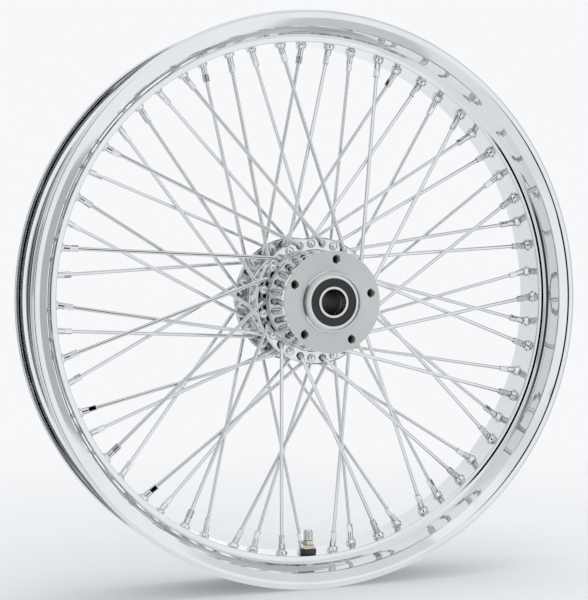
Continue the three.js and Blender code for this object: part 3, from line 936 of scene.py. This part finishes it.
def hex_nut(name, z0, z1, across_corners, bore, sides, mat, node, washer_r=None, turn=0.0, chamfer=0.6):
    """A nut with chamfered corners: outline clipped by a cone at both ends."""
    n = sides * 12
    apothem = across_corners * math.cos(math.pi / sides)
    vs, fs, rings = [], [], []
    zs = [z0, z0 + 0.02] + [z0 + (z1 - z0) * t for t in (0.06, 0.14, 0.24, 0.5, 0.76, 0.86, 0.94)] + [z1 - 0.02, z1]
    for z in zs:
        edge = min(z - z0, z1 - z)
        limit = across_corners - chamfer + min(chamfer, edge * 1.7)
        if z in (z0, z1):
            limit = apothem - 0.25
        ring = []
        for k in range(n):
            a = 2 * math.pi * k / n
            off = (a % (2 * math.pi / sides)) - math.pi / sides
            r = min(apothem / math.cos(off), limit)
            aa = a + rad(turn)
            ring.append(len(vs))
            vs.append((r * math.sin(aa), z, r * math.cos(aa)))
        rings.append(ring)
    for r, z in ((bore + 0.35, z1), (bore, z1 - 0.35), (bore, z0 + 0.35), (bore + 0.35, z0)):
        ring = []
        for k in range(n):
            aa = 2 * math.pi * k / n + rad(turn)
            ring.append(len(vs))
            vs.append((r * math.sin(aa), z, r * math.cos(aa)))
        rings.append(ring)
    for i in range(len(rings)):
        p, q = rings[i], rings[(i + 1) % len(rings)]
        for k in range(n):
            k2 = (k + 1) % n
            fs.append((p[k], p[k2], q[k2], q[k]))
    return new_piece(name, stand(vs), fs, mat, "wheel", (node,), sharp=26, weighted=False)


hex_nut("valve_lower_nut", -248.7, -244.75, 6.55, 4.1, 6, valve_nickel, "valve_nut_lower", turn=8)
hex_nut("valve_upper_nut", -244.35, -240.45, 5.85, 4.1, 6, valve_nickel, "valve_nut_upper", turn=31)

# cap: a closed cup with grip flutes, a plain band at its mouth and a bevelled crown
n = 96
vs, fs, rings = [], [], []
outside = [(4.7, -240.1, 0), (4.95, -239.9, 0), (4.95, -238.9, 0), (4.8, -238.7, 0), (4.8, -238.5, 1), (4.8, -232.2, 1), (4.7, -231.6, 0.6), (4.35, -230.5, 0), (4.0, -229.9, 0), (3.3, -229.65, 0), (1.6, -229.6, 0)]
for r, z, flute in outside:
    ring = []
    for k in range(n):
        a = 2 * math.pi * k / n
        rr = r - 0.16 * flute * (1 - abs(math.cos(12 * a)))
        ring.append(len(vs))
        vs.append((rr * math.sin(a), z, rr * math.cos(a)))
    rings.append(ring)
vs.append((0, -229.6, 0))
crown = len(vs) - 1
inside_rings = []
for r, z in ((4.25, -240.1), (4.05, -239.7), (4.05, -231.5), (2.0, -231.3)):
    ring = []
    for k in range(n):
        a = 2 * math.pi * k / n
        ring.append(len(vs))
        vs.append((r * math.sin(a), z, r * math.cos(a)))
    inside_rings.append(ring)
vs.append((0, -231.3, 0))
floor_pt = len(vs) - 1
for p, q in list(zip(rings, rings[1:])) + list(zip([rings[0]] + inside_rings, inside_rings)):
    for k in range(n):
        k2 = (k + 1) % n
        fs.append((p[k], p[k2], q[k2], q[k]))
for k in range(n):
    k2 = (k + 1) % n
    fs.append((crown, rings[-1][k], rings[-1][k2]))
    fs.append((floor_pt, inside_rings[-1][k2], inside_rings[-1][k]))
new_piece("valve_dust_cap", stand(vs), fs, cap_plate, "cap", ("valve_cap",), sharp=35, weighted=False)

pin = [(0.0, -250.0), (0.9, -250.0), (0.9, -249.0), (0.45, -248.7), (0.45, -236.2), (0.9, -235.9), (0.9, -234.9), (0.5, -234.6), (0.5, -232.9), (0.4, -232.65), (0.0, -232.6)]
v, f = lathe(pin, 24, closed=False)
new_piece("valve_pin", stand(v), f, valve_brass, "core_pin", ("valve_core_pin",), weighted=False)


# ------------------------------------------------------------------ floor, light and background
def stage_material_floor():
    m = bpy.data.materials.new("studio_floor")
    m.use_nodes = True
    nt = m.node_tree
    nt.nodes.clear()
    out = nt.nodes.new("ShaderNodeOutputMaterial")
    co = nt.nodes.new("ShaderNodeTexCoord")
    diffuse = nt.nodes.new("ShaderNodeBsdfDiffuse")
    grain = noise(nt, co.outputs["Object"], 3.0, 2.0, 0.5)
    nt.links.new(ramp(nt, grain, [(0.3, (0.62, 0.624, 0.635)), (0.7, (0.642, 0.646, 0.652))]), diffuse.inputs["Color"])
    glow = nt.nodes.new("ShaderNodeEmission")
    glow.inputs["Color"].default_value = (0.95, 0.96, 0.985, 1)
    glow.inputs["Strength"].default_value = 0.12
    both = nt.nodes.new("ShaderNodeAddShader")
    nt.links.new(diffuse.outputs[0], both.inputs[0])
    nt.links.new(glow.outputs[0], both.inputs[1])
    clear = nt.nodes.new("ShaderNodeBsdfTransparent")
    length = nt.nodes.new("ShaderNodeVectorMath")
    length.operation = "LENGTH"
    nt.links.new(co.outputs["Object"], length.inputs[0])
    fade = nt.nodes.new("ShaderNodeMapRange")
    fade.interpolation_type = "SMOOTHSTEP"
    fade.inputs["From Min"].default_value = 0.25
    fade.inputs["From Max"].default_value = 1.15
    nt.links.new(length.outputs["Value"], fade.inputs["Value"])
    # what the metal sees of the floor is a plain grey
    rays = nt.nodes.new("ShaderNodeLightPath")
    grey = nt.nodes.new("ShaderNodeEmission")
    grey.inputs["Color"].default_value = (0.96, 0.98, 1.0, 1)
    grey.inputs["Strength"].default_value = 1.10
    seen = nt.nodes.new("ShaderNodeMixShader")
    near = nt.nodes.new("ShaderNodeMapRange")
    near.interpolation_type = "SMOOTHSTEP"
    near.inputs["From Min"].default_value = 0.25
    near.inputs["From Max"].default_value = 0.55
    nt.links.new(length.outputs["Value"], near.inputs["Value"])
    reach = nt.nodes.new("ShaderNodeMixShader")
    nt.links.new(near.outputs["Result"], reach.inputs[0])
    nt.links.new(grey.outputs[0], reach.inputs[1])
    nt.links.new(clear.outputs[0], reach.inputs[2])
    nt.links.new(rays.outputs["Is Camera Ray"], seen.inputs[0])
    nt.links.new(reach.outputs[0], seen.inputs[1])
    nt.links.new(both.outputs[0], seen.inputs[2])
    mix = nt.nodes.new("ShaderNodeMixShader")
    nt.links.new(fade.outputs["Result"], mix.inputs[0])
    nt.links.new(seen.outputs[0], mix.inputs[1])
    nt.links.new(clear.outputs[0], mix.inputs[2])
    nt.links.new(mix.outputs[0], out.inputs["Surface"])
    return m


v, f = [], []
for i in range(13):
    r = 0.0 if i == 0 else 0.16 * i
    for k in range(64):
        a = 2 * math.pi * k / 64
        v.append((r * math.cos(a), r * math.sin(a), 0.0))
for i in range(12):
    for k in range(64):
        k2 = (k + 1) % 64
        f.append((i * 64 + k, (i + 1) * 64 + k, (i + 1) * 64 + k2, i * 64 + k2))
floor_mesh = bpy.data.meshes.new("floor")
floor_mesh.from_pydata(v, [], f)
floor_mesh.materials.append(stage_material_floor())
floor = bpy.data.objects.new("floor", floor_mesh)
floor.location = (0, 0, cad_lo.z - 0.0001)
scene.collection.objects.link(floor)

world = bpy.data.worlds.new("studio")
scene.world = world
world.use_nodes = True
wt = world.node_tree
wt.nodes.clear()
w_out = wt.nodes.new("ShaderNodeOutputWorld")
w_co = wt.nodes.new("ShaderNodeTexCoord")
w_sep = wt.nodes.new("ShaderNodeSeparateXYZ")
wt.links.new(w_co.outputs["Generated"], w_sep.inputs[0])
az = math_node(wt, "MULTIPLY", math_node(wt, "ARCTAN2", w_sep.outputs[0], math_node(wt, "MULTIPLY", w_sep.outputs[1], -1.0)), 180 / math.pi)
el = math_node(wt, "MULTIPLY", math_node(wt, "ARCSINE", w_sep.outputs[2]), 180 / math.pi)


def soft_step(value, edge, soft):
    n = wt.nodes.new("ShaderNodeMapRange")
    n.interpolation_type = "SMOOTHSTEP"
    n.inputs["From Min"].default_value = edge - soft
    n.inputs["From Max"].default_value = edge + soft
    wt.links.new(value, n.inputs["Value"])
    return n.outputs["Result"]


def inside(value, lo, hi, soft):
    a = soft_step(value, lo, soft)
    b = math_node(wt, "SUBTRACT", 1.0, soft_step(value, hi, soft))
    return math_node(wt, "MULTIPLY", a, b)


def region(az_lo, az_hi, el_lo, el_hi, soft_az=2.0, soft_el=3.0):
    return math_node(wt, "MULTIPLY", inside(az, az_lo, az_hi, soft_az), inside(el, el_lo, el_hi, soft_el))


light = None


def level(mask, target):
    """Brings the light in a region to a level."""
    global light
    n = wt.nodes.new("ShaderNodeMix")
    n.data_type = "FLOAT"
    wt.links.new(mask, n.inputs[0])
    if light is None:
        n.inputs[2].default_value = 0.77
    else:
        wt.links.new(light, n.inputs[2])
    n.inputs[3].default_value = target
    light = n.outputs[0]


# the room: bright sweep behind, softer sides, bright soft boxes in front, a dark gap between them by the camera
REGIONS = [
    # az_lo, az_hi, el_lo, el_hi, level, soft_az, soft_el
    (-150, -112, -91, 91, 0.66, 5.0, 1.0),
    (-112, -97, -91, 91, 0.76, 3.0, 1.0),
    (-97, -72, -38, 44, 0.03, 2.0, 3.0),
    (-72, -42, -38, 60, 0.66, 2.0, 4.0),
    (-42, -19, -38, 60, 0.88, 1.5, 4.0),
    (-54, -38, 0, 16, 0.35, 1.5, 2.0),
    (-19, 3, 26, 60, 0.90, 1.2, 2.0),
    (-19, 3, -52, -30, 0.76, 1.2, 2.0),
    (3, 14, -30, 30, 0.80, 1.5, 2.0),
    (14, 60.5, -39, 29, 0.87, 1.0, 2.0),
    (3, 60.5, 29, 42, 0.70, 1.0, 2.0),
    (3, 75, 42, 62, 0.66, 3.0, 2.0),
    (3, 60, -52, -39, 0.58, 2.0, 1.0),
    (3, 60, -72, -52, 0.36, 2.0, 3.0),
    (60.5, 75, -60, 28, 0.47, 1.0, 2.0),
    (60.5, 75, 28, 42, 0.90, 1.0, 2.0),
    (75, 100, -60, 60, 0.62, 3.0, 4.0),
    (100, 140, -60, 60, 1.00, 4.0, 4.0),
    (-19.5, 3.5, -13, 13, 0.0, 0.6, 1.0),
    (-13.5, 3.5, -22, 22, 0.0, 0.6, 1.2),
]
for az_lo, az_hi, el_lo, el_hi, target, sa, se in REGIONS:
    level(region(az_lo, az_hi, el_lo, el_hi, sa, se), target)
room = wt.nodes.new("ShaderNodeBackground")
room.inputs["Color"].default_value = (1, 1, 1, 1)
room.inputs["Strength"].default_value = 1.45
tint = wt.nodes.new("ShaderNodeMix")
tint.data_type = "RGBA"
tint.blend_type = "MULTIPLY"
tint.inputs[0].default_value = 1.0
wt.links.new(light, tint.inputs[6])
tint.inputs[7].default_value = (0.958, 0.985, 1.0, 1)
wt.links.new(tint.outputs[2], room.inputs["Color"])
backdrop = wt.nodes.new("ShaderNodeBackground")
backdrop.inputs["Color"].default_value = (0.935, 0.938, 0.955, 1)
rays = wt.nodes.new("ShaderNodeLightPath")
pick = wt.nodes.new("ShaderNodeMixShader")
wt.links.new(rays.outputs["Is Camera Ray"], pick.inputs[0])
wt.links.new(room.outputs[0], pick.inputs[1])
wt.links.new(backdrop.outputs[0], pick.inputs[2])
wt.links.new(pick.outputs[0], w_out.inputs["Surface"])

top_light = bpy.data.lights.new("top_soft_box", "AREA")
top_light.shape = "RECTANGLE"
top_light.size, top_light.size_y = 1.6, 1.2
top_light.energy = 8.7
top_ob = bpy.data.objects.new("top_soft_box", top_light)
top_ob.location = (0.25, -0.2, 1.7)
top_ob.rotation_euler = (rad(-4), rad(8), 0)
top_ob.visible_glossy = False
top_ob.visible_camera = False
scene.collection.objects.link(top_ob)

scene.view_settings.view_transform = "Standard"
scene.view_settings.look = "None"
scene.view_settings.exposure = 0.0
scene.view_settings.gamma = 1.0
